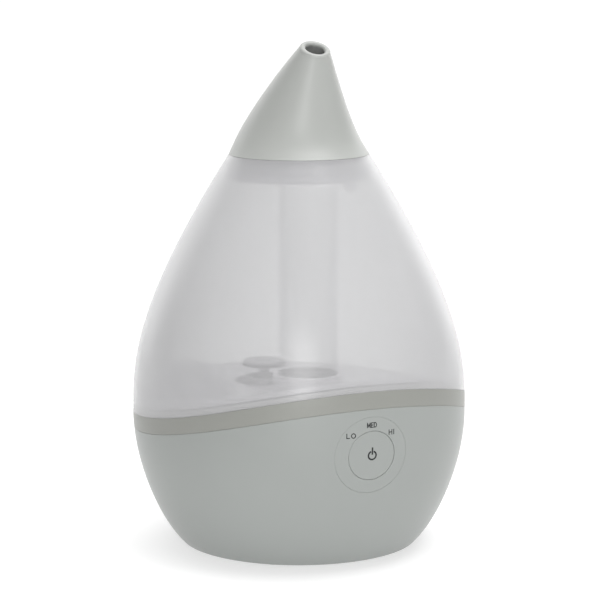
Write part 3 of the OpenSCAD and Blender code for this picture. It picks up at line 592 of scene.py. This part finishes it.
def stroke_mesh(strokes, width, body, name, base=0.0):
    """Flat bands with square corners along each stroke, laid on the panel's surface."""
    verts, faces = [], []
    for line in strokes:
        fine = []
        for a, b in zip(line[:-1], line[1:]):
            steps = max(1, int(math.dist(a, b) / STROKE_STEP))
            fine.append(np.linspace(a, b, steps, endpoint=False))
        pts = np.concatenate(fine + [[line[-1]]])
        pts = pts[np.append(True, np.linalg.norm(np.diff(pts, axis=0), axis=1) > TOUCHING)]
        closed = math.dist(line[0], line[-1]) < TOUCHING
        if closed:
            pts = pts[:-1]
        count = len(pts)
        ahead = np.roll(pts, -1, axis=0) - pts
        behind = pts - np.roll(pts, 1, axis=0)
        if not closed:
            ahead[-1] = behind[-1]
            behind[0] = ahead[0]
            pts[0] -= ahead[0] / np.linalg.norm(ahead[0]) * width / 2
            pts[-1] += behind[-1] / np.linalg.norm(behind[-1]) * width / 2
        ahead /= np.linalg.norm(ahead, axis=1)[:, None]
        behind /= np.linalg.norm(behind, axis=1)[:, None]
        middle = ahead + behind
        middle /= np.linalg.norm(middle, axis=1)[:, None]
        side = np.stack([-middle[:, 1], middle[:, 0]], axis=1)
        turn = np.sum(middle * ahead, axis=1)[:, None]
        mitre = np.minimum(1 / np.maximum(TOUCHING, turn), SHARPEST_MITRE)
        left, right = pts + side * width / 2 * mitre, pts - side * width / 2 * mitre
        start = len(verts)
        section = ((left, PRINT_HEIGHT), (right, PRINT_HEIGHT), (right, PRINT_SUNK), (left, PRINT_SUNK))
        for i in range(count):
            for points, height in section:
                verts.append(on_panel(points[i][0], points[i][1], base + height))
        for i in range(count if closed else count - 1):
            a, b = start + 4 * i, start + 4 * ((i + 1) % count)
            for k in range(4):
                faces.append((a + k, a + (k + 1) % 4, b + (k + 1) % 4, b + k))
        if not closed:
            faces.append((start, start + 1, start + 2, start + 3))
            end = start + 4 * (count - 1)
            faces.append((end + 3, end + 2, end + 1, end))
    obj = new_object(name, np.array(verts), faces, INK, body)
    obj.data.polygons.foreach_set("use_smooth", [False] * len(obj.data.polygons))
    return obj


# Each legend: its letters, the widths of their boxes, the gap between them, and its centre on the panel.
LEGENDS = [("low", "LO", (1.5, 2.3), 1.1, (-12.5, 11.9)),
           ("medium", "MED", (1.6, 1.15, 1.4), 0.65, (-0.45, 17.1)),
           ("high", "HI", (1.8, 0.0), 1.2, (11.6, 12.1))]


def make_legends():
    """The three speed names on the ring, and the power sign on the button."""
    for name, text, widths, gap, centre in LEGENDS:
        total = sum(widths) + gap * (len(text) - 1)
        x = centre[0] - total / 2
        y = centre[1] - (CAP_HEIGHT - STROKE) / 2
        strokes = []
        for glyph, w in zip(text, widths):
            for line in letter(glyph, w, CAP_HEIGHT - STROKE):
                strokes.append([(x + px, y + py) for px, py in line])
            x += w + gap
        stroke_mesh(strokes, STROKE, "base", "legend_" + name)
    power = [arc(0, 0.25, 2.3, 2.3, 120, 420, 60), [(0, 1.1), (0, 4.3)]]
    stroke_mesh(power, POWER_STROKE, "button", "legend_power", base=-BUTTON_SUNK)


# ---- Studio and camera --------------------------------------------------------------------------

CAMERA_AZIMUTH = math.radians(-24.7)
CAMERA_DISTANCE, CAMERA_HEIGHT = 1336.5, 359.8
CAMERA_PITCH = 0.163
FOCAL = 2375.5                    # in units of which the frame's width has FRAME_WIDTH
FRAME_WIDTH = 600
SENSOR = 36.0
FAR_CLIP = 50
AXIS_OFFSET = 1.0                 # the teardrop's axis stands this many of them left of the frame's middle


def make_camera():
    """A long lens, in front on the left and a little above the tank, tipped down."""
    data = bpy.data.cameras.new("camera")
    data.sensor_width = SENSOR
    data.lens = FOCAL * SENSOR / FRAME_WIDTH
    data.clip_end = FAR_CLIP
    camera = bpy.data.objects.new("camera", data)
    bpy.context.scene.collection.objects.link(camera)
    camera.location = (CAMERA_DISTANCE * MM * math.sin(CAMERA_AZIMUTH),
                       -CAMERA_DISTANCE * MM * math.cos(CAMERA_AZIMUTH), CAMERA_HEIGHT * MM)
    camera.rotation_euler = (math.pi / 2 - CAMERA_PITCH, 0, CAMERA_AZIMUTH - AXIS_OFFSET / FOCAL)
    bpy.context.scene.camera = camera


LIGHT_TARGET = (0, 0, 0.14)


def soft_box(name, azimuth, elevation, distance, size, power):
    """A rectangular studio light that faces the object."""
    data = bpy.data.lights.new(name, "AREA")
    data.shape = "RECTANGLE"
    data.size, data.size_y = size
    data.energy = power
    lamp = bpy.data.objects.new(name, data)
    a, e = math.radians(azimuth), math.radians(elevation)
    spot = Vector((math.sin(a) * math.cos(e), -math.cos(a) * math.cos(e), math.sin(e))) * distance
    lamp.location = spot + Vector(LIGHT_TARGET)
    lamp.rotation_euler = (-spot).to_track_quat("-Z", "Y").to_euler()
    bpy.context.scene.collection.objects.link(lamp)


SKY = 1.16
# Each patch: azimuth and elevation of its middle, cosines where it starts and where it is full, its loss.
# The first two darken both sides of the object, for shape. The last one's loss is a gain: light overhead.
SKY_PATCHES = [(-84, 0, 0.05, 0.6, 1.0),
               (50, -8, 0.15, 0.65, 1.0),
               (0, 90, 0.78, 1.0, -2.2)]


def make_world():
    """White surroundings, with patches of the sky made darker or brighter."""
    world = bpy.data.worlds.new("studio")
    world.use_nodes = True
    tree = world.node_tree
    background = tree.nodes["Background"]
    coords = tree.nodes.new("ShaderNodeTexCoord")
    link = tree.links.new
    level = None
    for azimuth, elevation, start, end, loss in SKY_PATCHES:
        a, e = math.radians(azimuth), math.radians(elevation)
        dot = tree.nodes.new("ShaderNodeVectorMath")
        dot.operation = "DOT_PRODUCT"
        dot.inputs[1].default_value = (math.sin(a) * math.cos(e), -math.cos(a) * math.cos(e), math.sin(e))
        fade = tree.nodes.new("ShaderNodeMapRange")
        fade.interpolation_type = "SMOOTHSTEP"
        fade.inputs["From Min"].default_value = start
        fade.inputs["From Max"].default_value = end
        fade.inputs["To Min"].default_value = 1.0
        fade.inputs["To Max"].default_value = 1.0 - loss
        link(coords.outputs["Generated"], dot.inputs[0])
        link(dot.outputs["Value"], fade.inputs["Value"])
        if level is None:
            level = fade.outputs["Result"]
        else:
            product = tree.nodes.new("ShaderNodeMath")
            product.operation = "MULTIPLY"
            link(level, product.inputs[0])
            link(fade.outputs["Result"], product.inputs[1])
            level = product.outputs["Value"]
    scale = tree.nodes.new("ShaderNodeMath")
    scale.operation = "MULTIPLY"
    scale.inputs[1].default_value = SKY
    link(level, scale.inputs[0])
    link(scale.outputs["Value"], background.inputs["Strength"])
    background.inputs["Color"].default_value = (1, 1, 1, 1)
    bpy.context.scene.world = world


FLOOR_SIZE = 60


def make_studio():
    """Surroundings, floor and lights."""
    make_world()
    bpy.ops.mesh.primitive_plane_add(size=FLOOR_SIZE, location=(0, 0, 0))
    floor = bpy.context.active_object
    floor.name = "studio_floor"
    floor.data.materials.append(PAPER)
    soft_box("rim_left", -160, 20, 1.4, (0.7, 1.2), 2.5)
    soft_box("rim_right", 118, 20, 1.4, (0.7, 1.2), 2.5)
    soft_box("front", -22, 14, 2.2, (0.6, 1.1), 20)
    soft_box("upper_right", 40, 70, 1.8, (0.9, 0.9), 13)
    bpy.context.scene.view_settings.view_transform = "Standard"


dress_cad_nodes()
make_tank()
make_rim_band()
make_housing()
make_foot_ring()
make_button()
make_control_ring()
make_nozzle()
make_legends()
make_camera()
make_studio()
